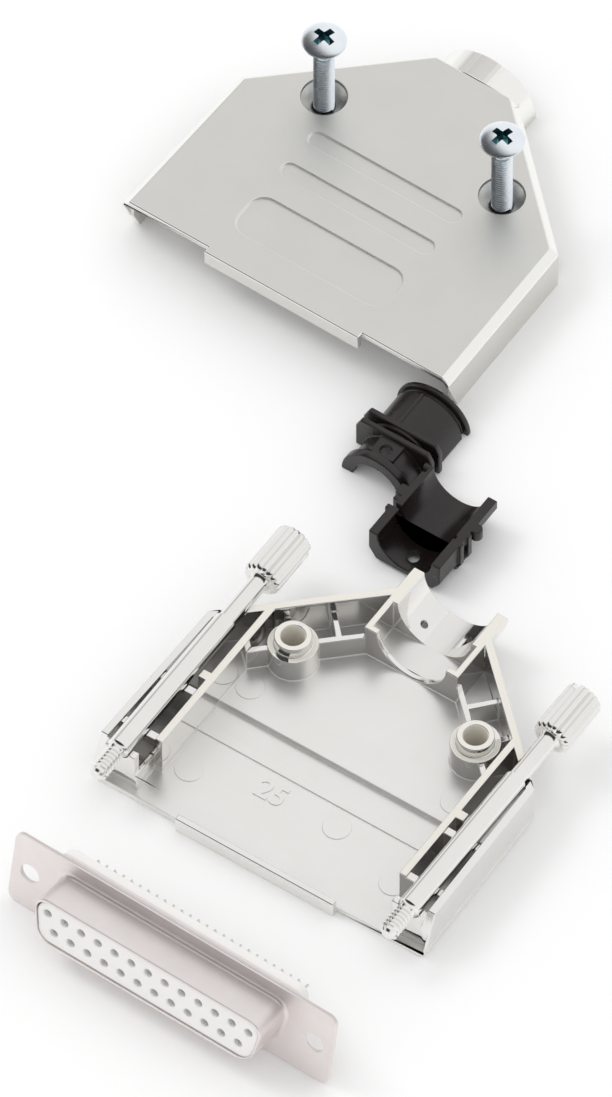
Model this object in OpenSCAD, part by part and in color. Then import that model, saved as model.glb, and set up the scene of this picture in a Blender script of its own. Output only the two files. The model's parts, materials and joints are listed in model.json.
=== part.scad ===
// Metal hood kit for a 25-way D-sub connector: two die-cast shells, two captive thumbscrews,
// two cover screws, a cable clamp in two halves and the socket connector that the hood houses.
// Millimetres. X runs across the hood, Y from the mating side to the cable, Z up.
// Every piece is drawn in its own frame first, and one placing module puts it where it lies.

/* [Arrangement] */
// Pieces laid out beside the bottom shell; off puts every piece in its fitted place
laid_out = true; // [true, false]

/* [Hood shells] */
// Width of the hood at its front edge
hood_w = 54.2; // [54.1:0.1:56]
// Width of the hood where its side walls end and the tapered walls start
shoulder_w = 53; // [53:0.1:54]
// Length of the side walls, from the front edge
side_l = 27; // [26.5:0.1:28]
// Length from the front edge to the end of the tapered walls
body_l = 44.6; // [44:0.1:46]
// Height of one shell, half the thickness of the hood
half_h = 7.7; // [7.6:0.05:8]
// Thickness of the walls
wall = 1.1; // [1:0.05:1.2]
// Thickness of the floor in front of the floor step
floor_t = 1; // [0.8:0.1:1.2]
// Thickness of the floor behind the floor step
rear_floor_t = 1.9; // [1.4:0.1:1.9]
// Bevel along the long outer edges
bevel = 1.1; // [0.6:0.1:1.2]
// Rear end of the cable collar, from the front edge
collar_end = 48.8; // [48:0.1:51]
// Inner radius of the cable collar
collar_r = 5.95; // [5.9:0.05:6.1]
// Depth of the panel and the two bars pressed into the cover
panel_depth = 0.3; // [0.2:0.05:0.4]

/* [Thumbscrews] */
// Distance between the two thumbscrews, the standard of a 25-way connector
screw_pitch = 47.04; // [47.04]
// Diameter of the thread, number 4 by 40 to the inch
thread_d = 2.84; // [2.84]
// Diameter of the shank in its channel
shank_d = 3.3; // [3.2:0.05:3.3]
// Diameter of the knurled knob
knob_d = 5.6; // [4.6:0.1:5.8]
// Length of the knurled knob
knob_l = 8.6; // [7:0.1:10]
// Number of ridges round the knob
knob_ridges = 16; // [12:1:20]

/* [Cover screws] */
// Distance between the two cover screws
post_pitch = 29.6; // [29:0.1:30]
// Cover screws' place, from the front edge
post_y = 30.2; // [29.8:0.1:30.6]
// Diameter of the cover screw's shank
cover_screw_d = 3; // [2.9:0.05:3]
// Diameter of the cover screw's raised countersunk head
screw_head_d = 6.3; // [6:0.1:6.3]
// Height at which the screws stand above their fitted place when laid out
screw_lift = 12.8; // [11.5:0.1:13]

/* [Connector] */
// Width of the connector's flange
flange_w = 53.04; // [53.04]
// Height of the connector's flange
flange_h = 12.5; // [12.5]
// Width of the D-shaped shell at its wide side
d_w = 38.3; // [38.3]
// Height of the D-shaped shell
d_h = 7.9; // [7.9]
// Distance between neighbouring contacts in a row
contact_pitch = 2.77; // [2.77]
// Distance between the two rows of contacts
row_pitch = 2.84; // [2.84]

/* [Laid-out places] */
// Where the cover lies
cover_place = [-47.9, 77.7]; // [-90:0.1:90]
// Where the upper clamp lies
upper_clamp_place = [-23, 67.8]; // [-90:0.1:90]
// Where the lower clamp lies
lower_clamp_place = [-11.2, 57.4]; // [-90:0.1:90]
// Where the connector stands
connector_place = [1.4, -22.5]; // [-90:0.1:90]
// Turn of the cover and of the connector on the bench, in degrees
piece_turn = [-1, -2]; // [-5:0.5:5]

/* [Hidden] */
$fn = 48;
contact_count = 25;

nickel = [0.84, 0.84, 0.81];
matte_nickel = [0.77, 0.77, 0.74];
zinc = [0.72, 0.77, 0.83];
clamp_black = [0.16, 0.14, 0.14];
tin = [0.82, 0.8, 0.79];
insulator_white = [0.95, 0.94, 0.9];
contact_brass = [0.79, 0.66, 0.35];

side = [-1, 1];
slack = 0.01;
// what stands on the floor starts this far up, just inside it
sunk = floor_t - 0.05;
neck_w = 2 * half_h;
slope = (body_l - side_l) / ((shoulder_w - neck_w) / 2);
side_lean = (hood_w - shoulder_w) / 2 / side_l;
middle_y = 22;

// places inside a shell, from the front edge
lip_w = 25.6;
lip_proud = 1;
lip_h = 2.6;
front_slot = 1.15;
step_y = 19.1;
strip_y = 13.9;
strip_w = 1.7;
strip_h = 0.2;
channel_x = 19.2;
channel_wall = 1.1;
channel_front = 5.4;
front_saddle_y = 1.8;
front_wall_x = 20.8;
front_wall_t = 0.8;
saddle_ys = [6, 15];
saddle_t = 1.2;
saddle_top = half_h - 0.3;
saddle_gap = 0.1;
lug_y = 18;
lug_w = 1.2;
lug_t = 1.5;
rib_t = 0.9;
rib_h = 5.5;
cross_rib_x = 10.2;
web_y = 36.6;
web_t = 0.9;
web_r = 5.6;
cheek_x = 6.7;
cheek_out = 7.6;
collar_front = 42.3;
collar_outer_r = half_h - 0.05;
post_ring_r = 2.6;
post_r = 3.5;
post_step_z = 5.9;
post_top_z = 7.5;
post_bore_r = 1.7;
mark_r = 2;
mark_h = 0.1;
mark_places = [[-17, 23.2], [-16.4, 7.8], [16.5, 22.8], [16.9, 7.5], [5.4, 11]];

// screw fits
screw_y = [-4, 1.15, 27, 35];
neck_d = 2.7;
neck_gap = 0.08;
cone_h = 1.65;
pocket_h = 0.5;
cover_hole_r = cover_screw_d / 2 + 0.05;
cover_shank_l = 13.2;
head_rim_h = 0.25;
head_dome_h = 0.9;
seat_z = half_h - pocket_h - cone_h;

// connector, from the front face of its flange
sheet_t = 0.35;
shell_reach = 5.9;
shell_t = 0.45;
rear_w = 40.2;
rear_h = 11.6;
rear_reach = 3.1;
rear_r = 1.8;
rim_t = 0.3;
rim_reach = 1.3;
hole_r = 1.55;
cup_end = 7.1;
barrel_front = -4.2;
socket_r = 0.62;
barrel_r = 0.55;
lean = atan2((flange_h - rear_h) / 2, rear_reach - 2 * sheet_t);

// clamp, from the middle of the web that it straddles
plate_w = 12.4;
plate_h = 5.6;
plate_t = 0.9;
clamp_bore_r = 4.4;
clamp_front = -5.9;
clamp_end = 8.8;

// --- shared outlines ---

function arc(centre, r, from, to, steps) =
    [for (i = [0 : steps]) centre + r * [cos(from + (to - from) * i / steps),
                                         sin(from + (to - from) * i / steps)]];

function rounded(w, h, r) = concat(
    arc([w / 2 - r, h / 2 - r], r, 0, 90, 6),
    arc([r - w / 2, h / 2 - r], r, 90, 180, 6),
    arc([r - w / 2, r - h / 2], r, 180, 270, 6),
    arc([w / 2 - r, r - h / 2], r, 270, 360, 6));

// D outline: wide side up, sides leaning ten degrees, corners of radius r
function d_side(w, h, z) = w / 2 - (h / 2 - z) * tan(10);
function d_corner(w, h, r, z) = [d_side(w, h, z) - r / cos(10), z];
function flip(points) = [for (i = [len(points) - 1 : -1 : 0]) [-points[i][0], points[i][1]]];
function d_half(w, h, r) = concat(
    arc(d_corner(w, h, r, r - h / 2), r, -90, -10, 7),
    arc(d_corner(w, h, r, h / 2 - r), r, -10, 90, 9));
function d_outline(w, h, r) = concat(d_half(w, h, r), flip(d_half(w, h, r)));

// the side wall's line at y, and the tapered wall's line at x, moved inwards by inset
function side_x(y, inset) = hood_w / 2 - y * side_lean - inset;
function taper_y(x, inset) =
    side_l + (shoulder_w / 2 - abs(x)) * slope - inset * sqrt(1 + slope * slope);

// where those two lines meet
function shoulder(inset) =
    let (y = (taper_y(0, inset) - slope * side_x(0, inset)) / (1 - slope * side_lean))
    [side_x(y, inset), y];

function mirrored(points) = concat(points, flip(points));

// an outline in X and Z, carried along +Y
module along_y(from, to) {
    translate([0, to, 0]) rotate([90, 0, 0]) linear_extrude(to - from) children();
}

module rod_y(r, from, to) {
    translate([0, from, 0]) rotate([-90, 0, 0]) cylinder(r = r, h = to - from);
}

// a bar standing on the floor between two places in plan
module rib(from, to, z0, z1, t) {
    run = to - from;
    translate([from[0], from[1], z0]) rotate([0, 0, atan2(run[1], run[0])])
        translate([0, -t / 2, 0]) cube([norm(run), t, z1 - z0]);
}

// --- shells: both are drawn with the outer face at z = 0 and the joint at z = half_h ---

module shell_outline() {
    polygon(mirrored([[hood_w / 2, 0], [shoulder_w / 2, side_l], [neck_w / 2, body_l]]));
}

module both_sides() {
    children();
    mirror([1, 0, 0]) children();
}

// everything outside the 45 degree bevel along an edge, whose inner side is on the left
module edge_cut(from, to, depth) {
    run = to - from;
    size = 2 * hood_w;
    translate([from[0], from[1], depth]) rotate([-45, 0, atan2(run[1], run[0])])
        translate([-size, -size, -size]) cube([2 * size, 2 * size, size]);
}

module bevelled_block() {
    corner = [shoulder_w / 2, side_l];
    difference() {
        linear_extrude(half_h) shell_outline();
        both_sides() {
            edge_cut([hood_w / 2, 0], corner, bevel);
            // the tapered walls' bevel starts a hair higher than the side walls'
            edge_cut(corner, [neck_w / 2, body_l], bevel + 0.03);
        }
    }
}

module shell_body() {
    difference() {
        union() {
            bevelled_block();
            translate([0, 0, half_h]) rod_y(collar_outer_r, collar_front + wall, collar_end);
            translate([-lip_w / 2, -lip_proud, 0]) cube([lip_w, lip_proud + wall / 2, lip_h]);
        }
        translate([-hood_w, -hood_w, half_h]) cube([2 * hood_w, 4 * hood_w, 2 * half_h]);
    }
}

module cavity() {
    translate([0, 0, floor_t]) linear_extrude(half_h) polygon(mirrored([
        [side_x(-slack, wall), -slack], shoulder(wall),
        [cheek_out, taper_y(cheek_out, wall)], [cheek_out, collar_front]]));
    // slot behind the lips for the connector's flange
    slot_w = flange_w + 0.2;
    translate([-slot_w / 2, -slack, floor_t]) cube([slot_w, front_slot, half_h]);
}

module screw_channels() {
    middle = channel_x + channel_wall / 2;
    for (s = side) {
        rib([s * middle, channel_front], [s * middle, taper_y(channel_x, wall - 0.1)],
            sunk, half_h, channel_wall);
        for (y = saddle_ys)
            rib([s * middle, y], [s * side_x(y, wall * 2 / 3), y], sunk, saddle_top, saddle_t);
        // lug that keeps the shank in the middle of its channel
        rib([s * middle, lug_y], [s * (channel_x + channel_wall + lug_w), lug_y], sunk,
            half_h, lug_t);
    }
}

// front saddles behind the flange, which only the bottom shell has, clear of the connector
module front_saddles() {
    y = front_saddle_y;
    for (s = side) {
        rib([s * front_wall_x, front_slot], [s * front_wall_x, saddle_ys[0]], sunk,
            half_h / 2, front_wall_t);
        rib([s * front_wall_x, y], [s * side_x(y, wall * 2 / 3), y], sunk, saddle_top, saddle_t);
    }
}

module screw_notches() {
    for (s = side) translate([s * screw_pitch / 2, 0, half_h]) {
        rod_y(shank_d / 2 + saddle_gap, 0, screw_y[2] + 1);
        rod_y(neck_d / 2 + neck_gap, 0, screw_y[3]);
    }
}

module stiffening_ribs() {
    for (s = side) {
        // long rib through the screw post, parallel to the tapered wall
        reach = function(x) [s * x, post_y + (post_pitch / 2 - x) * slope];
        cheek_middle = (cheek_x + cheek_out) / 2;
        rib(reach(channel_x + channel_wall / 2), reach(cheek_middle), sunk, rib_h, rib_t);
        // cross ribs from the long rib to the tapered wall
        out = [s * slope, 1] / norm([slope, 1]);
        gap = (taper_y(post_pitch / 2, wall / 2) - post_y) / norm([slope, 1]);
        for (x = [post_pitch / 2, cross_rib_x])
            rib(reach(x), reach(x) + gap * out, sunk, rib_h, rib_t);
        // cheek beside the clamp, from the web to the tapered wall
        rib([s * cheek_middle, web_y], [s * cheek_middle, collar_front + wall / 2], sunk,
            half_h, cheek_out - cheek_x);
    }
}

module clamp_web() {
    difference() {
        translate([-cheek_x - wall / 3, web_y, sunk])
            cube([2 * (cheek_x + wall / 3), web_t, half_h - sunk]);
        translate([0, 0, half_h]) rod_y(web_r, web_y - 1, web_y + web_t + 1);
    }
}

// the front ends of the side walls lean back towards the joint
module corner_tapers() {
    tab_z = 1.6;
    tab_lean = 2.4 / (half_h - tab_z);
    for (s = side) translate([s * hood_w / 2 - 1.5, 0, 0]) rotate([90, 0, 90])
        linear_extrude(3) polygon([[-1, tab_z - tab_lean], [0, tab_z],
                                   [(half_h + 1 - tab_z) * tab_lean, half_h + 1],
                                   [-1, half_h + 1]]);
}

// the shell with its channels, ribs, web and collar, but no posts
module shell_blank(with_front_saddles) {
    difference() {
        union() {
            difference() {
                shell_body();
                cavity();
            }
            screw_channels();
            if (with_front_saddles) front_saddles();
            stiffening_ribs();
            clamp_web();
            rear_floor();
        }
        screw_notches();
        translate([0, 0, half_h]) rod_y(collar_r, collar_front - slack, collar_end + 1);
        corner_tapers();
    }
}

// thicker floor behind the step
module rear_floor() {
    inset = wall * 2 / 3;
    translate([0, 0, sunk]) linear_extrude(rear_floor_t - sunk) polygon(mirrored([
        [side_x(step_y, inset), step_y], shoulder(inset),
        [cheek_out, taper_y(cheek_out, inset)]]));
}

module post_at(x) {
    translate([x, post_y, sunk]) {
        cylinder(r = post_r, h = post_step_z - sunk);
        cylinder(r = post_ring_r, h = post_top_z - sunk);
    }
}

module bottom_shell_own() {
    difference() {
        union() {
            shell_blank(true);
            for (s = side) post_at(s * post_pitch / 2);
            // shallow strip across the floor, and round ejector marks
            strip_l = 2 * channel_x + channel_wall;
            translate([-strip_l / 2, strip_y, sunk])
                cube([strip_l, strip_w, floor_t + strip_h - sunk]);
            for (place = mark_places) translate([place[0], place[1], sunk])
                cylinder(r = mark_r,
                         h = (place[1] > step_y ? rear_floor_t : floor_t) + mark_h - sunk);
        }
        for (s = side) translate([s * post_pitch / 2, post_y, -1])
            cylinder(r = post_bore_r, h = half_h + 2);
        // small drain hole in the collar
        translate([-3.2, 44.6, -1]) cylinder(r = 0.5, h = half_h);
    }
}

module cover_pressings() {
    panel = [25, 7.2, 8.1];
    bars = [17.1, 23.6];
    translate([0, panel[2], -1]) linear_extrude(panel_depth + 1)
        polygon(rounded(panel[0], panel[1], 2.4));
    for (y = bars) translate([0, y, -1]) linear_extrude(panel_depth + 1)
        polygon(rounded(panel[0], 2.5, 1.2));
}

module top_cover_own() {
    boss_r = 3.9;
    // turned over, so that the outer face is up and the joint is at z = 0
    translate([0, 0, half_h]) mirror([0, 0, 1]) difference() {
        union() {
            shell_blank(false);
            for (s = side) translate([s * post_pitch / 2, post_y, sunk])
                cylinder(r = boss_r, h = half_h - 0.1 - sunk);
        }
        cover_pressings();
        for (s = side) translate([s * post_pitch / 2, post_y, 0]) {
            translate([0, 0, -1]) cylinder(r = screw_head_d / 2 + 0.1, h = pocket_h + 1);
            translate([0, 0, pocket_h - slack])
                cylinder(r1 = screw_head_d / 2 + 0.1, r2 = cover_hole_r, h = cone_h + slack);
            cylinder(r = cover_hole_r, h = half_h + 1);
        }
    }
}

// --- screws ---

module knob_outline() {
    ridge = 360 / knob_ridges;
    // each ridge is a flat crown with a narrow groove beside it
    polygon([for (i = [0 : knob_ridges - 1]) for (p = [[0.1, 0.9], [0.22, 1], [0.78, 1], [0.9, 0.9]])
        knob_d / 2 * p[1] * [cos((i + p[0]) * ridge), sin((i + p[0]) * ridge)]]);
}

// thumbscrew along +Y, from the front edge of the hood
module thumbscrew_own() {
    end = screw_y[3] + knob_l;
    tip = 0.4;
    rod_y(thread_d / 2, screw_y[0] + tip, screw_y[1] + slack);
    translate([0, screw_y[0], 0]) rotate([-90, 0, 0])
        cylinder(r1 = thread_d / 2 - tip, r2 = thread_d / 2, h = tip + slack);
    rod_y(shank_d / 2, screw_y[1], screw_y[2]);
    rod_y(neck_d / 2, screw_y[2] - slack, screw_y[3] + slack);
    difference() {
        intersection() {
            translate([0, screw_y[3], 0]) rotate([-90, 0, 0])
                linear_extrude(knob_l) knob_outline();
            knob_bevels(screw_y[3], end);
        }
        // driver slot across the end
        translate([-knob_d, end - 1.3, -0.5]) cube([2 * knob_d, 2, 1]);
    }
}

module knob_bevels(from, to) {
    r = knob_d / 2;
    cut = 0.5;
    translate([0, from, 0]) rotate([-90, 0, 0]) rotate_extrude()
        polygon([[0, 0], [r - cut, 0], [r + slack, cut], [r + slack, to - from - cut],
                 [r - cut, to - from], [0, to - from]]);
}

// cover screw with its countersunk cone starting at z = 0 and its shank below
module cover_screw_own() {
    r = screw_head_d / 2;
    shank_r = cover_screw_d / 2;
    // radius of the sphere whose cap makes the raised top
    dome_r = (r * r + head_dome_h * head_dome_h) / (2 * head_dome_h);
    rise = asin(r / dome_r);
    top = cone_h + head_rim_h + head_dome_h;
    difference() {
        rotate_extrude() polygon(concat(
            [[0, -cover_shank_l], [shank_r - 0.4, -cover_shank_l],
             [shank_r, 0.4 - cover_shank_l], [shank_r, 0], [r, cone_h]],
            arc([0, top - dome_r], dome_r, 90 - rise, 90, 8)));
        for (turn = [0, 90]) rotate([0, 0, turn + 30]) translate([0, 0, top])
            cube([3.2, 0.8, 3], center = true);
    }
}

// --- cable clamp: the cable runs along Y at z = 0, the web sits at y = 0 ---

module clamp_plates(low) {
    lobe = 1.6;
    z = low ? -1 : 1;
    outline = [[plate_w / 2, 0], [plate_w / 2, z * (plate_h - lobe)],
               [plate_w / 2 - lobe / 2, z * plate_h]];
    for (y = [-0.5 - plate_t, 0.5]) along_y(y, y + plate_t) polygon(mirrored(outline));
}

module half_space(low) {
    size = 4 * plate_w;
    translate([-size / 2, -size / 2, low ? 0 : -size]) cube(size);
}

module upper_clamp_own() {
    ring = [7.2, 8];
    difference() {
        union() {
            difference() {
                union() {
                    rod_y(5.45, 0, ring[0]);
                    rod_y(4.95, -0.6, ring[1] + slack);
                    rod_y(5.85, ring[1], clamp_end);
                    rod_y(4.9, clamp_front + 1.3, 0);
                    rod_y(5.5, clamp_front, clamp_front + 1.4);
                    // ridge along the top of the sleeve
                    translate([-1.2, 1.4, 0]) cube([0.5, ring[0] - 1.4, 5.6]);
                }
                half_space(false);
            }
            clamp_plates(false);
            // flat pad round the tie hole
            translate([-1.9, clamp_front + 1, 3.6]) cube([3.8, 3.6, 1.4]);
        }
        rod_y(clamp_bore_r, clamp_front + 1.2, clamp_end + 1);
        rod_y(3.6, clamp_front - 1, clamp_front + 2);
        translate([0, -3.2, 0]) cylinder(r = 0.85, h = 8);
    }
}

module lower_clamp_own() {
    ring = [6.6, 7.2];
    block = [[5.8, 0], [5.8, -3.6], [4.6, -5.45]];
    difference() {
        union() {
            difference() {
                union() {
                    rod_y(5.45, 0, ring[0]);
                    rod_y(4.95, 0, ring[1] + slack);
                    rod_y(5.85, ring[1], clamp_end - 0.8);
                }
                half_space(true);
            }
            along_y(clamp_front, -0.5) polygon(mirrored(block));
            clamp_plates(true);
            // arm along the right rim, with its peg
            translate([4.7, -1, -1.6]) cube([1.15, clamp_end + 0.2, 1.6]);
            translate([6.1, 2.6, -1.8]) cylinder(r = 0.85, h = 1.8);
            // square lug on the left rim
            translate([-6.5, 1.5, -2.2]) cube([1.8, 1.9, 2.2]);
        }
        rod_y(clamp_bore_r, clamp_front - 1, clamp_end + 1);
        translate([0, -3.5, -8]) cylinder(r = 0.85, h = 8);
    }
}

// --- connector: mating side towards -Y, middle of the flange at z = 0 ---

module flange_sheet(from) {
    along_y(from, from + sheet_t) difference() {
        polygon(rounded(flange_w, flange_h, 1.4));
        for (s = side) translate([s * screw_pitch / 2, 0]) circle(r = hole_r);
    }
}

module front_shell_own() {
    difference() {
        union() {
            flange_sheet(0);
            along_y(-shell_reach, sheet_t / 2) polygon(d_outline(d_w, d_h, 2.6));
        }
        along_y(-shell_reach - 1, sheet_t + 1)
            polygon(d_outline(d_w - 2 * shell_t, d_h - 2 * shell_t, 2.6 - shell_t));
    }
}

module rear_shell_own() {
    // its short rim fits round the rear insulator
    inner_w = rear_w + 0.04;
    inner_h = rear_h + 0.04;
    difference() {
        union() {
            flange_sheet(sheet_t);
            along_y(sheet_t, rim_reach) polygon(rounded(inner_w + 2 * rim_t, inner_h + 2 * rim_t,
                                                       rear_r + rim_t));
        }
        along_y(-1, rim_reach + 1) polygon(rounded(inner_w, inner_h, rear_r));
    }
}

// place of contact i in X and Z: 13 in the upper row, 12 in the lower
upper_row = 13;
function contact_x(i) = i <= upper_row
    ? (i - 7) * contact_pitch
    : (i - upper_row - 6.5) * contact_pitch;
function contact_z(i) = (i <= upper_row ? 1 : -1) * row_pitch / 2;

module contact_holes() {
    for (i = [1 : contact_count]) translate([contact_x(i), contact_z(i)]) circle(r = socket_r);
}

module front_insulator_own() {
    gap = 2 * shell_t + 0.04;
    along_y(0.2 - shell_reach, sheet_t) difference() {
        polygon(d_outline(d_w - gap, d_h - gap, 2.6 - gap / 2));
        contact_holes();
    }
}

module rear_insulator_own() {
    along_y(sheet_t, rear_reach) difference() {
        polygon(rounded(rear_w, rear_h, rear_r));
        contact_holes();
    }
}

// socket contact: slim barrel in the insulators, open solder cup behind
module contact_own(i) {
    translate([contact_x(i), 0, contact_z(i)]) difference() {
        union() {
            rod_y(barrel_r, barrel_front, rear_reach + 0.1);
            rod_y(0.85, rear_reach, cup_end);
        }
        rod_y(0.36, barrel_front - 1, 0);
        rod_y(0.6, cup_end - 3.4, cup_end + 1);
        // the cup's open side faces away from the other row
        up = i <= upper_row ? 1 : -1;
        translate([-1, cup_end - 3, up > 0 ? 0.1 : -1.1]) cube([2, 4, 1]);
    }
}

// --- places ---

module hood_frame() {
    translate([0, -middle_y, 0]) children();
}

module in_cover_place() {
    hood_frame() if (laid_out) translate(concat(cover_place, 0))
        translate([0, post_y, 0]) rotate([0, 0, piece_turn[0]]) translate([0, -post_y, 0])
            children();
    else translate([0, 0, half_h]) children();
}

module in_screw_place(s) {
    in_cover_place() translate([s * post_pitch / 2, post_y, seat_z + (laid_out ? screw_lift : 0)])
        children();
}

module in_thumbscrew_place(s) {
    hood_frame() translate([s * screw_pitch / 2, 0, half_h]) children();
}

module in_clamp_place(place, rest_z) {
    hood_frame() if (laid_out) translate([place[0], place[1], rest_z]) children();
    else translate([0, web_y + web_t / 2, half_h]) children();
}

// the connector leans back on its flange's edge and its rear shell's edge
module in_connector_place() {
    rest_z = 2 * sheet_t * sin(lean) + flange_h / 2 * cos(lean);
    hood_frame() if (laid_out) translate(concat(connector_place, rest_z))
        rotate([0, 0, piece_turn[1]]) rotate([-lean, 0, 0]) children();
    else translate([0, 0.05, half_h]) children();
}

module bottom_shell() color(nickel) hood_frame() bottom_shell_own();
module top_cover() color(matte_nickel) in_cover_place() top_cover_own();
module thumbscrew(s) color(nickel) in_thumbscrew_place(s) thumbscrew_own();
module cover_screw(s) color(zinc) in_screw_place(s) cover_screw_own();
module upper_clamp() color(clamp_black) in_clamp_place(upper_clamp_place, 0) upper_clamp_own();
module lower_clamp() color(clamp_black)
    in_clamp_place(lower_clamp_place, plate_h + 0.25) lower_clamp_own();
module front_shell() color(tin) in_connector_place() front_shell_own();
module rear_shell() color(tin) in_connector_place() rear_shell_own();
module front_insulator() color(insulator_white) in_connector_place() front_insulator_own();
module rear_insulator() color(insulator_white) in_connector_place() rear_insulator_own();
module contact(i) color(contact_brass) in_connector_place() contact_own(i);

bottom_shell();
top_cover();
thumbscrew(-1);  // left_thumbscrew
thumbscrew(1);  // right_thumbscrew
cover_screw(-1);  // left_cover_screw
cover_screw(1);  // right_cover_screw
upper_clamp();
lower_clamp();
front_shell();
rear_shell();
front_insulator();
rear_insulator();
for (i = [1 : contact_count])
    contact(i);
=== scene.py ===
import json
import math

import bmesh
import bpy
from mathutils import Matrix, Vector


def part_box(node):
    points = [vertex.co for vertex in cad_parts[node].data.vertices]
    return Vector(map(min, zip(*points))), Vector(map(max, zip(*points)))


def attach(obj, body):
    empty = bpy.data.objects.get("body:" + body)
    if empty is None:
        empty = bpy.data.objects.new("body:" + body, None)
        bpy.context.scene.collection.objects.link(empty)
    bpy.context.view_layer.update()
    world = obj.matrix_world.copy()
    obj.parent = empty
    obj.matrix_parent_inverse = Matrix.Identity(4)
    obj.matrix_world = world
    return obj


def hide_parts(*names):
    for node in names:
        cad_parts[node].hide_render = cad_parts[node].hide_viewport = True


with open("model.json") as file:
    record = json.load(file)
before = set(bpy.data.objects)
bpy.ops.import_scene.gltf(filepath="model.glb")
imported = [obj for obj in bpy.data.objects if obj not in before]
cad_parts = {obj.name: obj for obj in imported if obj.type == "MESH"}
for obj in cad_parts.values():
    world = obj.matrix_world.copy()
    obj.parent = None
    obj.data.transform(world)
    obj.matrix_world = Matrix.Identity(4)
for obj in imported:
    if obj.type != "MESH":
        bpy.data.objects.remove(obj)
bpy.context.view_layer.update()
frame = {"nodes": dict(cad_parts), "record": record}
nodes = frame["nodes"]
mounts = {mount["name"]: mount for mount in frame["record"]["mounts"]}
mm = 0.001
fullTurn = 2 * math.pi
# the mounts of the thumbscrews' threads lie 1.2 mm in front of the hood's front edge
hoodFront = mounts["left_screw_thread"]["pos_m"][1] + 1.2 * mm


def nothingPicked():
    if bpy.context.object and bpy.context.object.mode != "OBJECT":
        bpy.ops.object.mode_set(mode="OBJECT")
    bpy.ops.object.select_all(action="DESELECT")


def pickOnly(piece):
    nothingPicked()
    piece.select_set(True)
    bpy.context.view_layer.objects.active = piece


def startEdit(piece, kind="VERT"):
    pickOnly(piece)
    bpy.ops.object.mode_set(mode="EDIT")
    bpy.ops.mesh.select_mode(type=kind)


def endEdit():
    bpy.ops.object.mode_set(mode="OBJECT")


def pickCorners(piece, test):
    # picks the corners that pass the test; the piece is in edit mode
    bpy.ops.mesh.select_mode(type="VERT")
    bpy.ops.mesh.select_all(action="DESELECT")
    shape = bmesh.from_edit_mesh(piece.data)
    for corner in shape.verts:
        if test(corner):
            corner.select_set(True)
    shape.select_flush_mode()
    bmesh.update_edit_mesh(piece.data)


def tidyMesh(piece, distance=0.002 * mm):
    startEdit(piece)
    bpy.ops.mesh.select_all(action="SELECT")
    bpy.ops.mesh.remove_doubles(threshold=distance)
    bpy.ops.mesh.normals_make_consistent(inside=False)
    endEdit()


def mergeFlat(piece, distance):
    # merges close corners, then joins faces that lie in one plane
    startEdit(piece)
    bpy.ops.mesh.select_all(action="SELECT")
    bpy.ops.mesh.remove_doubles(threshold=distance)
    bpy.ops.mesh.dissolve_limited(angle_limit=math.radians(roundingPlan["flatAngle"]))
    endEdit()


def applyAll(piece):
    pickOnly(piece)
    for modifier in list(piece.modifiers):
        bpy.ops.object.modifier_apply(modifier=modifier.name)


roundingPlan = {
    "sharpAngle": 30,  # degrees at which an edge gets a rounding
    "inLine": 0.9,  # cosine of the angle up to which one edge goes on from another
    "leastRoom": 0.05 * mm,  # an edge with less room beside it stays sharp
    "share": 0.4,  # of the room, at most, that a rounding takes up
    "mergeWithin": 0.003 * mm,
    "flatAngle": 0.3,  # degrees; faces that meet at less become one
}


def meetingEdges(edge):
    # the edges at both ends of an edge, each with whether it goes on in nearly the same line
    for corner in edge.verts:
        along = (edge.other_vert(corner).co - corner.co).normalized()
        for other in corner.link_edges:
            if other is not edge:
                way = (other.other_vert(corner).co - corner.co).normalized()
                yield other, abs(along.dot(way)) > roundingPlan["inLine"]


def roomBeside(edge):
    # the smaller of how deep the faces beside an edge are and how long the edges across its ends
    depth = min(face.calc_area() for face in edge.link_faces) / edge.calc_length()
    across = [other.calc_length() for other, inLine in meetingEdges(edge) if not inLine]
    return min([depth] + across)


def roundEdges(piece, width, segments=2):
    # an edge with little room gets a smaller rounding, and so do the edges that go on from it
    shape = bmesh.new()
    shape.from_mesh(piece.data)
    weights = shape.edges.layers.float.new("bevel_weight_edge")
    sharpAngle = math.radians(roundingPlan["sharpAngle"])
    sharp = [edge for edge in shape.edges
             if edge.is_manifold and edge.calc_face_angle() > sharpAngle]
    rooms = {edge: roomBeside(edge) for edge in sharp}
    rooms = {edge: room for edge, room in rooms.items() if room > roundingPlan["leastRoom"]}
    waiting = list(rooms)
    while waiting:
        edge = waiting.pop()
        for other, inLine in meetingEdges(edge):
            if inLine and other in rooms and rooms[other] > rooms[edge]:
                rooms[other] = rooms[edge]
                waiting.append(other)
    for edge, room in rooms.items():
        edge[weights] = min(1, roundingPlan["share"] * room / width)
    shape.to_mesh(piece.data)
    shape.free()
    bevel = piece.modifiers.new("edges", "BEVEL")
    bevel.width = width
    bevel.segments = segments
    bevel.limit_method = "WEIGHT"
    bevel.use_clamp_overlap = False
    bevel.loop_slide = False
    applyAll(piece)
    mergeFlat(piece, roundingPlan["mergeWithin"])


def smooth(piece, angle=35):
    # big flat faces keep their own direction, so that they stay flat beside rounded edges
    pickOnly(piece)
    bpy.ops.object.shade_smooth_by_angle(angle=math.radians(angle))
    weights = piece.modifiers.new("weights", "WEIGHTED_NORMAL")
    weights.mode = "FACE_AREA"
    weights.weight = 100
    weights.keep_sharp = True
    applyAll(piece)


def cutWith(piece, cutters):
    for cutter in cutters:
        cut = piece.modifiers.new("cut", "BOOLEAN")
        cut.operation = "DIFFERENCE"
        cut.solver = "EXACT"
        cut.object = cutter
        applyAll(piece)
        bpy.data.objects.remove(cutter)


def joinInto(piece, others):
    pickOnly(piece)
    for other in others:
        other.select_set(True)
    bpy.ops.object.join()


def putAt(piece, matrix):
    piece.data.transform(matrix @ piece.matrix_world)
    piece.matrix_world = Matrix.Identity(4)
    piece.data.update()


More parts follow.
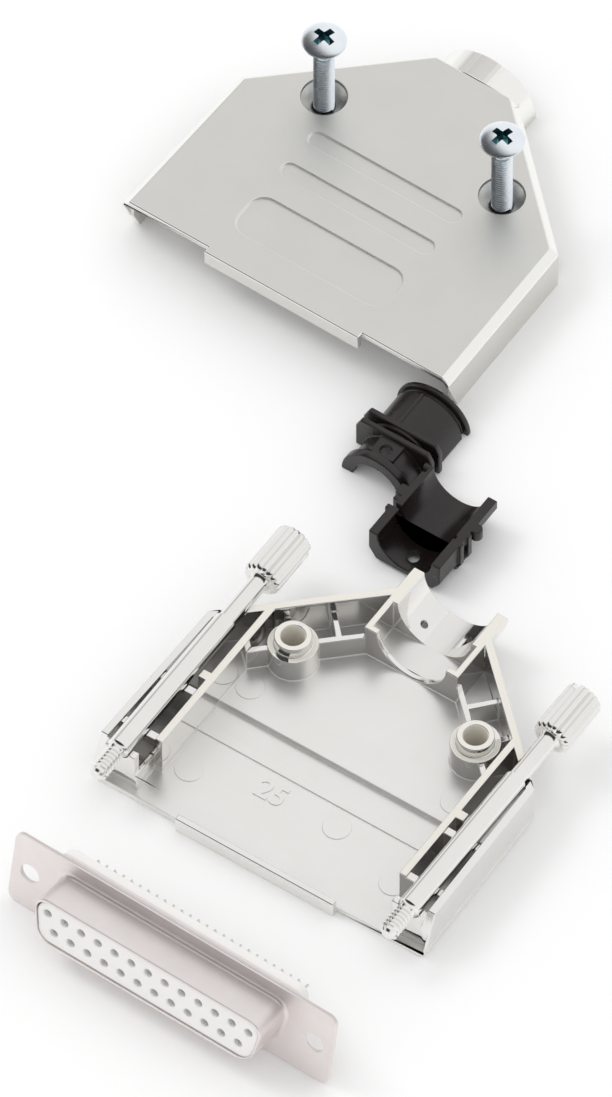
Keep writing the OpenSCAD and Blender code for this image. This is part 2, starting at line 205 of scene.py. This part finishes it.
def markFaces(piece, name, value):
    # writes what value gives for each face, from 0 to 1, for the finish to read
    marks = piece.data.attributes.new(name, "FLOAT", "FACE")
    for face, mark in zip(piece.data.polygons, marks.data):
        mark.value = value(face)


def finishPiece(piece, name, node, body, slotName):
    # names the piece, gives it its finish and body, and lets it stand in for the node, if any
    piece.name = name
    piece.data.name = name
    piece.data.materials.clear()
    piece.data.materials.append(finishes[slotName])
    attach(piece, body)
    if node:
        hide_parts(node)


def copyOfNode(node):
    # the node's own shape, with its triangles merged into flat faces
    nothingPicked()
    piece = bpy.data.objects.new(node + "_dressed", nodes[node].data.copy())
    bpy.context.scene.collection.objects.link(piece)
    mergeFlat(piece, 0.055 * mm)
    return piece


class Wire:  # a shader socket that Python sums can use
    def __init__(self, tree, socket):
        self.tree = tree
        self.socket = socket

    def make(self, kind, settings, inputs, out=0):
        made = self.tree.nodes.new("ShaderNode" + kind)
        for key, value in settings.items():
            setattr(made, key, value)
        feed(made, inputs)
        return Wire(self.tree, made.outputs[out])

    def maths(self, operation, *values):
        return self.make("Math", {"operation": operation}, dict(enumerate(values)))

    def __add__(self, other):
        return self.maths("ADD", self, other)

    def __sub__(self, other):
        return self.maths("SUBTRACT", self, other)

    def __rsub__(self, other):
        return self.maths("SUBTRACT", other, self)

    def __mul__(self, other):
        return self.maths("MULTIPLY", self, other)

    __radd__ = __add__
    __rmul__ = __mul__

    def between(self, low, high):
        # 0 below low, 1 above high, a straight line between
        inputs = {"Value": self, "From Min": low, "From Max": high}
        return self.make("MapRange", {"clamp": True}, inputs)

    def noise(self, scale, detail=2.0, roughness=0.5, stretch=(1, 1, 1)):
        place = self.make("Mapping", {}, {"Vector": self, "Scale": stretch})
        inputs = {"Vector": place, "Scale": scale, "Detail": detail, "Roughness": roughness}
        return self.make("TexNoise", {}, inputs)

    def part(self, axis):
        return self.make("SeparateXYZ", {}, {0: self}, out="XYZ".index(axis))

    def mark(self, name):
        # what markFaces wrote on the mesh
        return self.make("Attribute", {"attribute_name": name}, {}, out=2)

    def mixed(self, low, high):
        # colour from low to high as this value goes from 0 to 1; low may be a Wire
        start = low if isinstance(low, Wire) else (*low, 1)
        inputs = {"Factor": self, 6: start, 7: (*high, 1)}
        return self.make("Mix", {"data_type": "RGBA"}, inputs, out=2)

    def bump(self, strength, distance):
        return self.make("Bump", {}, {"Height": self, "Strength": strength, "Distance": distance})


def newFinish(name):
    finish = bpy.data.materials.new(name)
    finish.use_nodes = True
    tree = finish.node_tree
    coordinates = tree.nodes.new("ShaderNodeTexCoord")
    return finish, tree.nodes["Principled BSDF"], Wire(tree, coordinates.outputs["Object"])


def feed(shader, inputs):
    # links each Wire to its input and sets the other inputs to the values given
    for key, value in inputs.items():
        if isinstance(value, Wire):
            value.tree.links.new(value.socket, shader.inputs[key])
        else:
            shader.inputs[key].default_value = value


cameraPlan = {
    "azimuth": 34.2,
    "elevation": 53.3,
    "distance": 3.8,
    "viewHeight": 0.147,  # what the frame's long side takes in
    "sensorWidth": 36,
    "clipEnd": 10,
    "aimRight": 6.484 * mm,  # from the middle of the hood's front edge
    "aimUp": 42.86 * mm,
}


def addCamera(plan):
    azimuth, elevation = math.radians(plan["azimuth"]), math.radians(plan["elevation"])
    back = Vector((math.sin(azimuth) * math.cos(elevation),
                   -math.cos(azimuth) * math.cos(elevation), math.sin(elevation)))
    right = Vector((math.cos(azimuth), math.sin(azimuth), 0))
    up = back.cross(right)
    aim = Vector((0, hoodFront, 0)) + plan["aimRight"] * right + plan["aimUp"] * up
    lens = bpy.data.cameras.new("camera")
    camera = bpy.data.objects.new("camera", lens)
    bpy.context.scene.collection.objects.link(camera)
    camera.location = aim + back * plan["distance"]
    camera.rotation_mode = "QUATERNION"
    camera.rotation_quaternion = (-back).to_track_quat("-Z", "Y")
    lens.sensor_width = plan["sensorWidth"]
    lens.lens = plan["sensorWidth"] * plan["distance"] / plan["viewHeight"]
    lens.clip_end = plan["clipEnd"]
    bpy.context.scene.camera = camera


addCamera(cameraPlan)
print("camera placed")


lightPlan = {
    "worldLevel": 0.95,
    "backLevel": 0.92,
    "frontLevel": 0.05,  # what metal sees high in front of it
    "brightWay": (0.15, 0.75, 0.64),  # the way to the middle of the bright part
    "brightFrom": 0.4,  # cosine of the angle where the bright part starts
    "brightFull": 0.68,  # and where it is full
    "darkAbove": (0.3, 0.42),  # sine of the height over which the dark part comes in
    "keyPower": 2.2,
    "keySize": 0.5,
    "keyPlace": (-0.75, -0.1, 0.95),
    "floorSize": 12,
    "floorColour": (0.97, 0.97, 0.97),
}


def addWorld(plan):
    world = bpy.data.worlds.new("studio")
    world.use_nodes = True
    bpy.context.scene.world = world
    tree = world.node_tree
    tree.nodes.clear()
    # the camera sees white, metal sees a bright part and a dark part, and the rest is lit evenly
    rays = tree.nodes.new("ShaderNodeLightPath")
    isCamera = Wire(tree, rays.outputs["Is Camera Ray"])
    isGlossy = Wire(tree, rays.outputs["Is Glossy Ray"])
    direction = Wire(tree, tree.nodes.new("ShaderNodeTexCoord").outputs["Generated"])
    towardsBack = direction.make("VectorMath", {"operation": "DOT_PRODUCT"},
                                 {0: direction, 1: plan["brightWay"]}, out=1)
    rise = towardsBack.between(plan["brightFrom"], plan["brightFull"])
    dark = (1 - rise) * direction.part("Z").between(*plan["darkAbove"])
    seen = plan["backLevel"] - dark * (plan["backLevel"] - plan["frontLevel"])
    level = isCamera + (1 - isCamera) * (isGlossy * seen + (1 - isGlossy) * plan["worldLevel"])
    light = level.make("Background", {}, {"Color": (1, 1, 1, 1), "Strength": level})
    output = tree.nodes.new("ShaderNodeOutputWorld")
    tree.links.new(light.socket, output.inputs["Surface"])


def addLamp(name, place, size, power, aim):
    lamp = bpy.data.lights.new(name, "AREA")
    lamp.shape = "DISK"
    lamp.size = size
    lamp.energy = power
    holder = bpy.data.objects.new(name, lamp)
    bpy.context.scene.collection.objects.link(holder)
    holder.location = place
    holder.rotation_mode = "QUATERNION"
    holder.rotation_quaternion = (Vector(aim) - Vector(place)).to_track_quat("-Z", "Y")
    holder.visible_glossy = False  # metal shows the studio round it, not the lamp


def addFloor(plan):
    nothingPicked()
    bpy.ops.mesh.primitive_plane_add(size=plan["floorSize"], location=(0, 0, 0))
    floor = bpy.context.active_object
    floor.name = "floor"
    finish, shader = newFinish("paleFloor")[:2]
    feed(shader, {"Base Color": (*plan["floorColour"], 1), "Roughness": 0.9,
                  "Specular IOR Level": 0.1})
    floor.data.materials.append(finish)


addWorld(lightPlan)
addLamp("keyLamp", lightPlan["keyPlace"], lightPlan["keySize"], lightPlan["keyPower"], (0, 0, 0))
addFloor(lightPlan)
bpy.context.scene.view_settings.view_transform = "Standard"
print("floor and light ready")


grainDepth = 0.03 * mm


def brightNickel():
    # the low floor looks blasted and the walls above it smooth; the bores, marked on the mesh, are
    # dull and painted pale, a painted lit look standing in for light reaching into them
    finish, shader, place = newFinish("brightNickel")
    cloud = place.noise(180, 3)
    ripple = place.noise(900, 2)
    grain = place.noise(6500, 2, 0.6)
    low = 1 - place.part("Z").between(2.0 * mm, 2.1 * mm)
    bore = place.mark("bore")
    plated = cloud.mixed((0.82, 0.81, 0.785), (0.89, 0.88, 0.86))
    feed(shader, {"Metallic": 1 - low * 0.3 - bore * 0.8,
                  # the pale beige in the bores is painted light, standing in for light reaching into
                  # them
                  "Base Color": bore.mixed(plated, (0.84, 0.81, 0.74)),
                  "Roughness": 0.05 + cloud * 0.08 + low * 0.24 + bore * 0.4,
                  "Normal": (ripple * 0.4 + grain * low).bump(0.3, grainDepth)})
    return finish


def satinNickel():
    # slopes and rounded edges, marked on the mesh, are smoother and carry a painted highlight in a
    # paler colour
    finish, shader, place = newFinish("satinNickel")
    cloud = place.noise(140, 4)
    grain = place.noise(5200, 2, 0.6)
    slope = place.mark("slope")
    plated = cloud.mixed((0.71, 0.70, 0.665), (0.77, 0.76, 0.73))
    # the paler colour on slopes and edges is a painted highlight; the hollows round the cover screws
    # get part of it
    feed(shader, {"Metallic": 1.0, "Base Color": slope.mixed(plated, (0.93, 0.925, 0.90)),
                  "Roughness": 0.36 + grain * 0.1 - slope * 0.2,
                  "Normal": (grain * (1 - slope)).bump(0.35, grainDepth)})
    return finish


def zincPlate():
    # the recess, marked on the mesh, keeps a deeper blue-green
    finish, shader, place = newFinish("zincPlate")
    cloud = place.noise(500, 3)
    deep = place.mark("recess")
    plated = cloud.mixed((0.80, 0.87, 0.93), (0.93, 0.96, 0.99))
    feed(shader, {"Metallic": 1.0, "Base Color": deep.mixed(plated, (0.16, 0.34, 0.38)),
                  "Roughness": 0.2 + cloud * 0.14,
                  "Normal": place.noise(2500, 2).bump(0.15, grainDepth)})
    return finish


def blackPlastic():
    finish, shader, place = newFinish("blackPlastic")
    cloud = place.noise(260, 3)
    grain = place.noise(4200, 2)
    feed(shader, {"Base Color": cloud.mixed((0.008, 0.006, 0.006), (0.018, 0.013, 0.012)),
                  "Roughness": 0.2 + cloud * 0.14,
                  "Normal": grain.bump(0.2, grainDepth)})
    return finish


def tinPlate():
    finish, shader, place = newFinish("tinPlate")
    cloud = place.noise(220, 4)
    streaks = place.noise(900, 3, 0.6, (1, 1, 0.15))
    feed(shader, {"Metallic": 0.8,
                  "Base Color": cloud.mixed((0.78, 0.725, 0.71), (0.87, 0.82, 0.805)),
                  "Roughness": 0.36 + streaks * 0.14,
                  "Normal": streaks.bump(0.12, grainDepth)})
    return finish


def whitePlastic():
    finish, shader, place = newFinish("whitePlastic")
    cloud = place.noise(300, 3)
    feed(shader, {"Base Color": cloud.mixed((0.82, 0.81, 0.79), (0.87, 0.86, 0.84)),
                  "Roughness": 0.42 + cloud * 0.1})
    return finish


def contactMetal():
    finish, shader, place = newFinish("contactMetal")
    cloud = place.noise(600, 3)
    feed(shader, {"Metallic": 1.0,
                  "Base Color": cloud.mixed((0.60, 0.58, 0.55), (0.74, 0.72, 0.69)),
                  "Roughness": 0.25 + cloud * 0.15})
    return finish


finishes = {
    "bright_nickel": brightNickel(), "satin_nickel": satinNickel(), "zinc_plate": zincPlate(),
    "black_plastic": blackPlastic(), "tinned_steel": tinPlate(), "white_plastic": whitePlastic(),
    "contact_brass": contactMetal(),
}
slotOf = {part["node"]: part["material_slot"] for part in frame["record"]["subparts"]}
for nodeName, cadNode in nodes.items():
    cadNode.data.materials.clear()
    cadNode.data.materials.append(finishes[slotOf[nodeName]])
print("finishes ready")


def newPrimitive(add, **settings):
    nothingPicked()
    add(**settings)
    piece = bpy.context.active_object
    bpy.ops.object.transform_apply(location=True, rotation=True, scale=True)
    return piece


def turned(profile, steps):
    # a solid of revolution about Z; the profile runs from pole to pole as (radius, height) in mm
    piece = newPrimitive(bpy.ops.mesh.primitive_plane_add, size=mm)
    startEdit(piece)
    bpy.ops.mesh.select_all(action="SELECT")
    bpy.ops.mesh.merge(type="CENTER")
    bpy.ops.transform.translate(value=(profile[0][0] * mm, 0, profile[0][1] * mm))
    for before, after in zip(profile, profile[1:]):
        step = ((after[0] - before[0]) * mm, 0, (after[1] - before[1]) * mm)
        bpy.ops.mesh.extrude_vertices_move(TRANSFORM_OT_translate={"value": step})
    endEdit()
    sweep = piece.modifiers.new("sweep", "SCREW")
    sweep.axis = "Z"
    sweep.steps = sweep.render_steps = steps
    sweep.use_merge_vertices = True
    sweep.merge_threshold = 0.001 * mm
    applyAll(piece)
    tidyMesh(piece, 0.001 * mm)
    return piece


ridgePlan = {
    "foot": 0.85,  # width at the root, as a share of the pitch
    "top": 0.2,  # width at the crest, as a share of the foot
    "steps": 24,  # in one turn
}


def threadRidge(thread):
    # one ridge winding up round Z from height start, all in mm
    root, crest, pitch = thread["root"], thread["crest"], thread["pitch"]
    piece = newPrimitive(bpy.ops.mesh.primitive_plane_add, size=mm,
                         rotation=(math.pi / 2, 0, 0))
    startEdit(piece)
    bpy.ops.mesh.select_all(action="SELECT")
    size = (crest - root, 1, pitch * ridgePlan["foot"])
    bpy.ops.transform.resize(value=size, center_override=(0, 0, 0))
    pickCorners(piece, lambda corner: corner.co.x > 0)
    bpy.ops.transform.resize(value=(1, 1, ridgePlan["top"]), center_override=(0, 0, 0))
    bpy.ops.mesh.select_all(action="SELECT")
    bpy.ops.transform.translate(value=((root + crest) / 2 * mm, 0, thread["start"] * mm))
    bpy.ops.mesh.delete(type="ONLY_FACE")
    endEdit()
    sweep = piece.modifiers.new("sweep", "SCREW")
    sweep.axis = "Z"
    sweep.steps = sweep.render_steps = ridgePlan["steps"]
    sweep.screw_offset = pitch * mm
    sweep.iterations = thread["turns"]
    applyAll(piece)
    startEdit(piece)
    bpy.ops.mesh.select_all(action="SELECT")
    bpy.ops.mesh.fill_holes(sides=4)
    bpy.ops.mesh.normals_make_consistent(inside=False)
    endEdit()
    return piece


def blockCutter(size, place, turn=0, foot=1.0):
    # a block in mm whose lower end is narrowed by foot
    piece = newPrimitive(bpy.ops.mesh.primitive_cube_add, size=mm)
    startEdit(piece)
    bpy.ops.mesh.select_all(action="SELECT")
    bpy.ops.transform.resize(value=size, center_override=(0, 0, 0))
    pickCorners(piece, lambda corner: corner.co.z < 0)
    bpy.ops.transform.resize(value=(foot, 1, 1), center_override=(0, 0, 0))
    endEdit()
    putAt(piece, Matrix.Translation(Vector(place) * mm) @ Matrix.Rotation(turn, 4, "Z"))
    return piece


# cast, moulded and pressed pieces keep the solid's own shape, with its edges rounded
castPieces = {
    "bottom_shell": {"name": "lower_casting", "edge": 0.16 * mm, "segments": 2},
    "top_cover": {"name": "cover_casting", "edge": 0.2 * mm, "segments": 3},
    "upper_clamp": {"name": "upper_clamp_moulding", "edge": 0.22 * mm, "segments": 3},
    "lower_clamp": {"name": "lower_clamp_moulding", "edge": 0.22 * mm, "segments": 3},
    "rear_shell": {"name": "rear_pressing", "edge": 0.1 * mm, "segments": 2},
    "front_insulator": {"name": "front_moulding", "edge": 0.26 * mm, "segments": 2},
    "rear_insulator": {"name": "rear_moulding", "edge": 0.26 * mm, "segments": 3},
}


# which faces the nickel finishes treat apart; a face is as flat as its unit normal is high,
# from 0 for a wall to 1 for a level face
marksPlan = {
    "boreSlack": 0.05,  # mm past the bore's radius
    "sinkRadius": 3.6 * mm,  # of the hollow round a cover screw
    "sinkShare": 0.4,  # how much of the slope's smoothness and painted highlight the hollow gets
    "level": 0.99,  # a face less flat than this starts to be a slope
    "levelFade": 0.04,  # and is fully one when less flat by this much
    "upright": 0.2,  # below this it turns into a wall, which is no slope
}
postAxes = [Vector(mounts[side + "_screw_post"]["pos_m"]).xy for side in ("left", "right")]
postRadius = (mounts["left_screw_post"]["dims"]["r_mm"] + marksPlan["boreSlack"]) * mm
screwAxes = [(Vector(low).xy + Vector(high).xy) / 2
             for low, high in (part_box("left_cover_screw"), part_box("right_cover_screw"))]


def nearAny(face, axes, radius):
    return min((face.center.xy - axis).length for axis in axes) < radius


# the bores marked here get painted light in the bright nickel
def boreMark(face):
    return float(nearAny(face, postAxes, postRadius))


# the slopes marked here get a painted highlight in the satin nickel
def slopeMark(face):
    flatness = abs(face.normal.z)
    sloping = min(1, max(0, (marksPlan["level"] - flatness) / marksPlan["levelFade"]))
    share = marksPlan["sinkShare"] if nearAny(face, screwAxes, marksPlan["sinkRadius"]) else 1
    return sloping * min(1, flatness / marksPlan["upright"]) * share


def dressCast(node, plan):
    piece = copyOfNode(node)
    roundEdges(piece, plan["edge"], plan["segments"])
    low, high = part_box(node)
    for corner in piece.data.vertices:
        # rounding never carries a corner past the solid's own box
        corner.co = [min(max(value, low[axis]), high[axis]) for axis, value in enumerate(corner.co)]
    smooth(piece)
    markFaces(piece, "bore", boreMark)
    markFaces(piece, "slope", slopeMark)
    finishPiece(piece, plan["name"], node, "kit", slotOf[node])


for castNode, castPlan in castPieces.items():
    dressCast(castNode, castPlan)
    print("dressed", castNode)


# sizes in mm; profiles are (radius, height), with height 0 at the hood's front edge
thumbscrewPlan = {
    "profile": [(0, -4), (0.8, -4), (1.12, -3.7), (1.12, 0.4), (1.3, 0.7), (1.3, 1.0), (1.5, 1.15),
                (1.65, 1.35), (1.65, 26.7), (1.58, 26.9), (1.35, 27), (1.35, 34.4), (1.45, 34.8),
                (1.75, 35.1), (0, 35.4)],
    "steps": 48,
    "thread": {"root": 1.05, "crest": 1.41, "pitch": 0.635, "turns": 6, "start": -3.5},
    "knob": [(0, 35), (1.95, 35), (2.4, 35.12), (2.68, 35.4), (2.8, 35.8), (2.8, 43),
             (2.74, 43.3), (2.5, 43.55), (2.2, 43.6), (0, 43.6)],
    "ridges": 16,
    "ridgeColumns": 6,  # columns of corners in one ridge
    "grooves": {0: 0.885, 1: 0.95, 5: 0.95},  # how far each of these columns is drawn in
    "grooveFrom": 2.2,
    "slotLength": 8,
    "slotWidth": 0.9,
    "slotDepth": 1.2,
    "slotTurns": {"left_thumbscrew": 10, "right_thumbscrew": 70},
    "smoothAngle": 32,
}


def ridgedKnob(plan):
    columns = plan["ridgeColumns"] * plan["ridges"]
    piece = turned(plan["knob"], columns)

    def columnOf(corner):
        # which column of its ridge a corner is in; corners inside the grooves' reach have none
        if math.hypot(corner.co.x, corner.co.y) <= plan["grooveFrom"] * mm:
            return None
        return round(math.atan2(corner.co.y, corner.co.x) / fullTurn * columns) % plan["ridgeColumns"]
    for column, scale in plan["grooves"].items():
        startEdit(piece)
        pickCorners(piece, lambda corner: columnOf(corner) == column)
        bpy.ops.transform.resize(value=(scale, scale, 1), center_override=(0, 0, 0))
        endEdit()
    return piece


def addThumbscrew(node, plan):
    knob = ridgedKnob(plan)
    end = plan["knob"][-1][1]
    slotSize = (plan["slotLength"], plan["slotWidth"], 2 * plan["slotDepth"])
    slotTurn = math.radians(plan["slotTurns"][node])
    cutWith(knob, [blockCutter(slotSize, (0, 0, end), slotTurn)])
    piece = turned(plan["profile"], plan["steps"])
    joinInto(piece, [threadRidge(plan["thread"]), knob])
    low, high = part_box(node)
    front = Vector(((low[0] + high[0]) / 2, high[1] - end * mm, (low[2] + high[2]) / 2))
    # the turning axis goes from Z to the screw's own way, +Y
    putAt(piece, Matrix.Translation(front) @ Matrix.Rotation(-math.pi / 2, 4, "X"))
    smooth(piece, plan["smoothAngle"])
    finishPiece(piece, node.replace("thumbscrew", "turned_screw"), node, node, slotOf[node])


for screwNode in ("left_thumbscrew", "right_thumbscrew"):
    addThumbscrew(screwNode, thumbscrewPlan)
print("thumbscrews added")


# sizes in mm; the profile is (radius, height), with height 0 at the foot of the head's cone
coverScrewPlan = {
    "profile": [(0, -13.2), (0.95, -13.2), (1.2, -12.9), (1.2, -0.9), (1.3, -0.45), (1.55, -0.05),
                (1.95, 0.3), (2.6, 1.0), (3.05, 1.52), (3.15, 1.72), (3.13, 1.86), (3.02, 1.97)],
    "top": 2.8,
    "domeRadius": 5.96,
    "domeSteps": [2.8, 2.5, 2.1, 1.6, 1.1, 0.5, 0],
    "steps": 64,
    "thread": {"root": 1.15, "crest": 1.49, "pitch": 0.5, "turns": 23, "start": -12.8},
    "bladeSize": (4.8, 0.95, 3.0),
    "bladeFoot": 0.42,
    "coreSize": (1.5, 1.5, 3.2),
    "crossTurn": 77,
    "recessRadius": 2.2,  # faces inside it and below the dome are the recess
    "recessDepth": 0.12,  # from how far below the dome
    "smoothAngle": 32,
}


def domeHeight(plan, r):
    # height of the head's dome at r from the axis
    return plan["top"] - plan["domeRadius"] + math.sqrt(max(plan["domeRadius"] ** 2 - r ** 2, 0))


def addCoverScrew(node, plan):
    top = plan["top"]
    dome = [(r, domeHeight(plan, r)) for r in plan["domeSteps"]]
    piece = turned(plan["profile"] + dome, plan["steps"])
    turn = math.radians(plan["crossTurn"])
    cutWith(piece, [
        blockCutter(plan["bladeSize"], (0, 0, top), turn, plan["bladeFoot"]),
        blockCutter(plan["bladeSize"], (0, 0, top), turn + math.pi / 2, plan["bladeFoot"]),
        blockCutter(plan["coreSize"], (0, 0, top), turn + math.pi / 4)])

    def recessMark(face):
        centre = face.center / mm
        across = math.hypot(centre.x, centre.y)
        below = 0 < centre.z < domeHeight(plan, across) - plan["recessDepth"]
        return float(across < plan["recessRadius"] and below)
    markFaces(piece, "recess", recessMark)
    joinInto(piece, [threadRidge(plan["thread"])])
    low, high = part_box(node)
    seat = Vector(((low[0] + high[0]) / 2, (low[1] + high[1]) / 2, high[2] - top * mm))
    putAt(piece, Matrix.Translation(seat))
    smooth(piece, plan["smoothAngle"])
    finishPiece(piece, node.replace("cover_screw", "raised_head_screw"), node, node, slotOf[node])


for screwNode in ("left_cover_screw", "right_cover_screw"):
    addCoverScrew(screwNode, coverScrewPlan)
print("cover screws added")


# the connector's front: a flange with a D-shaped shell drawn out of it; sizes in mm
frontPlan = {
    "width": 38.3,  # of the D at its wide side
    "height": 7.9,
    "corner": 2.6,
    "lean": 10,
    "wall": 0.45,
    "reach": 5.9,
    "fillet": 0.6,
    "filletSteps": (22.5, 45, 67.5, 90),  # degrees
    "rim": ((0.04, 0.15), (0.07, 0.11), (0.09, 0.04)),  # steps inwards and onwards of its rounding
    "flange": (53.04, 12.5, 1.4),  # width, height and corner radius
    "flangeEdge": 0.1,
    "sheet": 0.35,
    "hole": 1.55,
    "cutterLength": 20,
    "holeCutterLength": 4,
    "smoothAngle": 28,
}


def connectorFrame(sheet):
    # own X across the flange, Y towards the cable, Z up, from the flange's front face
    left, right = (Vector(mounts[side + "_flange_hole"]["pos_m"]) for side in ("left", "right"))
    across = (right - left).normalized()
    along = -Vector(mounts["left_flange_hole"]["axis"]).normalized()
    upwards = across.cross(along)
    origin = (left + right) / 2 - along * sheet * mm
    turn = Matrix((across, along, upwards)).transposed().to_4x4()
    return Matrix.Translation(origin) @ turn


def outlineFace(width, height, corner, lean=0.0):
    # a face in X and Z with rounded corners; its sides lean in towards the bottom
    piece = newPrimitive(bpy.ops.mesh.primitive_plane_add, size=mm,
                         rotation=(math.pi / 2, 0, 0))
    startEdit(piece)
    bpy.ops.mesh.select_all(action="SELECT")
    bpy.ops.transform.resize(value=(width, 1, height), center_override=(0, 0, 0))
    narrow = (width - 2 * height * math.tan(math.radians(lean))) / width
    pickCorners(piece, lambda point: point.co.z < 0)
    bpy.ops.transform.resize(value=(narrow, 1, 1), center_override=(0, 0, 0))
    bpy.ops.mesh.select_all(action="SELECT")
    bpy.ops.mesh.bevel(offset=corner * mm, offset_type="OFFSET", segments=8, affect="VERTICES")
    bpy.ops.mesh.select_all(action="SELECT")
    bpy.ops.mesh.normals_make_consistent(inside=False)
    endEdit()
    return piece


def openFace(piece):
    startEdit(piece, "FACE")
    bpy.ops.mesh.select_all(action="SELECT")


def pushFace(along):
    # carries the picked face along Y, leaving walls behind it
    bpy.ops.mesh.extrude_region_move(TRANSFORM_OT_translate={"value": (0, along * mm, 0)})


def closeBack():
    # fills in where the picked face set out from, and leaves edit mode
    bpy.ops.mesh.select_all(action="SELECT")
    bpy.ops.mesh.fill_holes(sides=0)
    bpy.ops.mesh.normals_make_consistent(inside=False)
    endEdit()


def outlineD(plan, grown):
    # the D of the shell, grown all round, mm
    return outlineFace(plan["width"] + 2 * grown, plan["height"] + 2 * grown,
                       plan["corner"] + grown, plan["lean"])


def shellBoss(plan):
    # the solid D with its fillet at the flange and the rounding of its rim
    fillet, sheet = plan["fillet"], plan["sheet"]
    boss = outlineD(plan, fillet)
    openFace(boss)
    pushFace(-sheet / 2)
    before = (0.0, 0.0)
    for degrees in plan["filletSteps"]:
        turn = math.radians(degrees)
        after = (fillet * math.sin(turn), fillet * (1 - math.cos(turn)))
        bpy.ops.mesh.inset(thickness=(after[0] - before[0]) * mm,
                           depth=(after[1] - before[1]) * mm)
        before = after
    rimReach = sum(onwards for inwards, onwards in plan["rim"])
    pushFace(-(plan["reach"] - fillet - rimReach))
    for inwards, onwards in plan["rim"]:
        bpy.ops.mesh.inset(thickness=inwards * mm, depth=onwards * mm)
    closeBack()
    putAt(boss, Matrix.Translation((0, sheet / 2 * mm, 0)))
    return boss


def pushedBlock(face, length, start):
    # a face carried length mm towards the front from start
    openFace(face)
    pushFace(-length)
    closeBack()
    putAt(face, Matrix.Translation((0, start * mm, 0)))
    return face


def holeCutter(plan, centre):
    return newPrimitive(bpy.ops.mesh.primitive_cylinder_add, vertices=48,
                        depth=plan["holeCutterLength"] * mm, radius=plan["hole"] * mm,
                        rotation=(math.pi / 2, 0, 0), location=centre)


def addFrontShell(plan):
    boss = shellBoss(plan)
    plate = pushedBlock(outlineFace(*plan["flange"]), plan["sheet"], plan["sheet"])
    roundEdges(plate, plan["flangeEdge"] * mm)
    inside = pushedBlock(outlineD(plan, -plan["wall"]), plan["cutterLength"],
                         plan["cutterLength"] / 2)
    frontFrame = connectorFrame(plan["sheet"])
    holes = [holeCutter(plan, frontFrame.inverted() @ Vector(mounts[side + "_flange_hole"]["pos_m"]))
             for side in ("left", "right")]
    fuse = plate.modifiers.new("fuse", "BOOLEAN")
    fuse.operation = "UNION"
    fuse.solver = "EXACT"
    fuse.object = boss
    applyAll(plate)
    bpy.data.objects.remove(boss)
    cutWith(plate, [inside, *holes])
    putAt(plate, frontFrame)
    tidyMesh(plate)
    smooth(plate, plan["smoothAngle"])
    finishPiece(plate, "front_pressing", "front_shell", "kit", slotOf["front_shell"])


addFrontShell(frontPlan)
print("connector pressing added")


# the number of ways, raised on the tray's floor; sizes in mm
numberPlan = {
    "text": "25",
    "size": 4.5,
    "height": 0.12,
    "weight": 0.05,  # how much the strokes are thickened
    "floor": 1.0,
    "place": (-5.0, 10.7),  # from the middle of the hood's front edge
}


def addNumber(plan):
    nothingPicked()
    bpy.ops.object.text_add()
    piece = bpy.context.active_object
    piece.data.body = plan["text"]
    piece.data.size = plan["size"] * mm
    piece.data.align_x = "CENTER"
    piece.data.align_y = "CENTER"
    piece.data.extrude = plan["height"] * mm
    piece.data.offset = plan["weight"] * mm
    piece.data.resolution_u = 6
    bpy.ops.object.convert(target="MESH")
    piece = bpy.context.active_object
    across, along = plan["place"]
    putAt(piece, Matrix.Translation((across * mm, hoodFront + along * mm, plan["floor"] * mm)))
    tidyMesh(piece, 0.001 * mm)
    finishPiece(piece, "size_number", None, "kit", "bright_nickel")


addNumber(numberPlan)
print("number added")
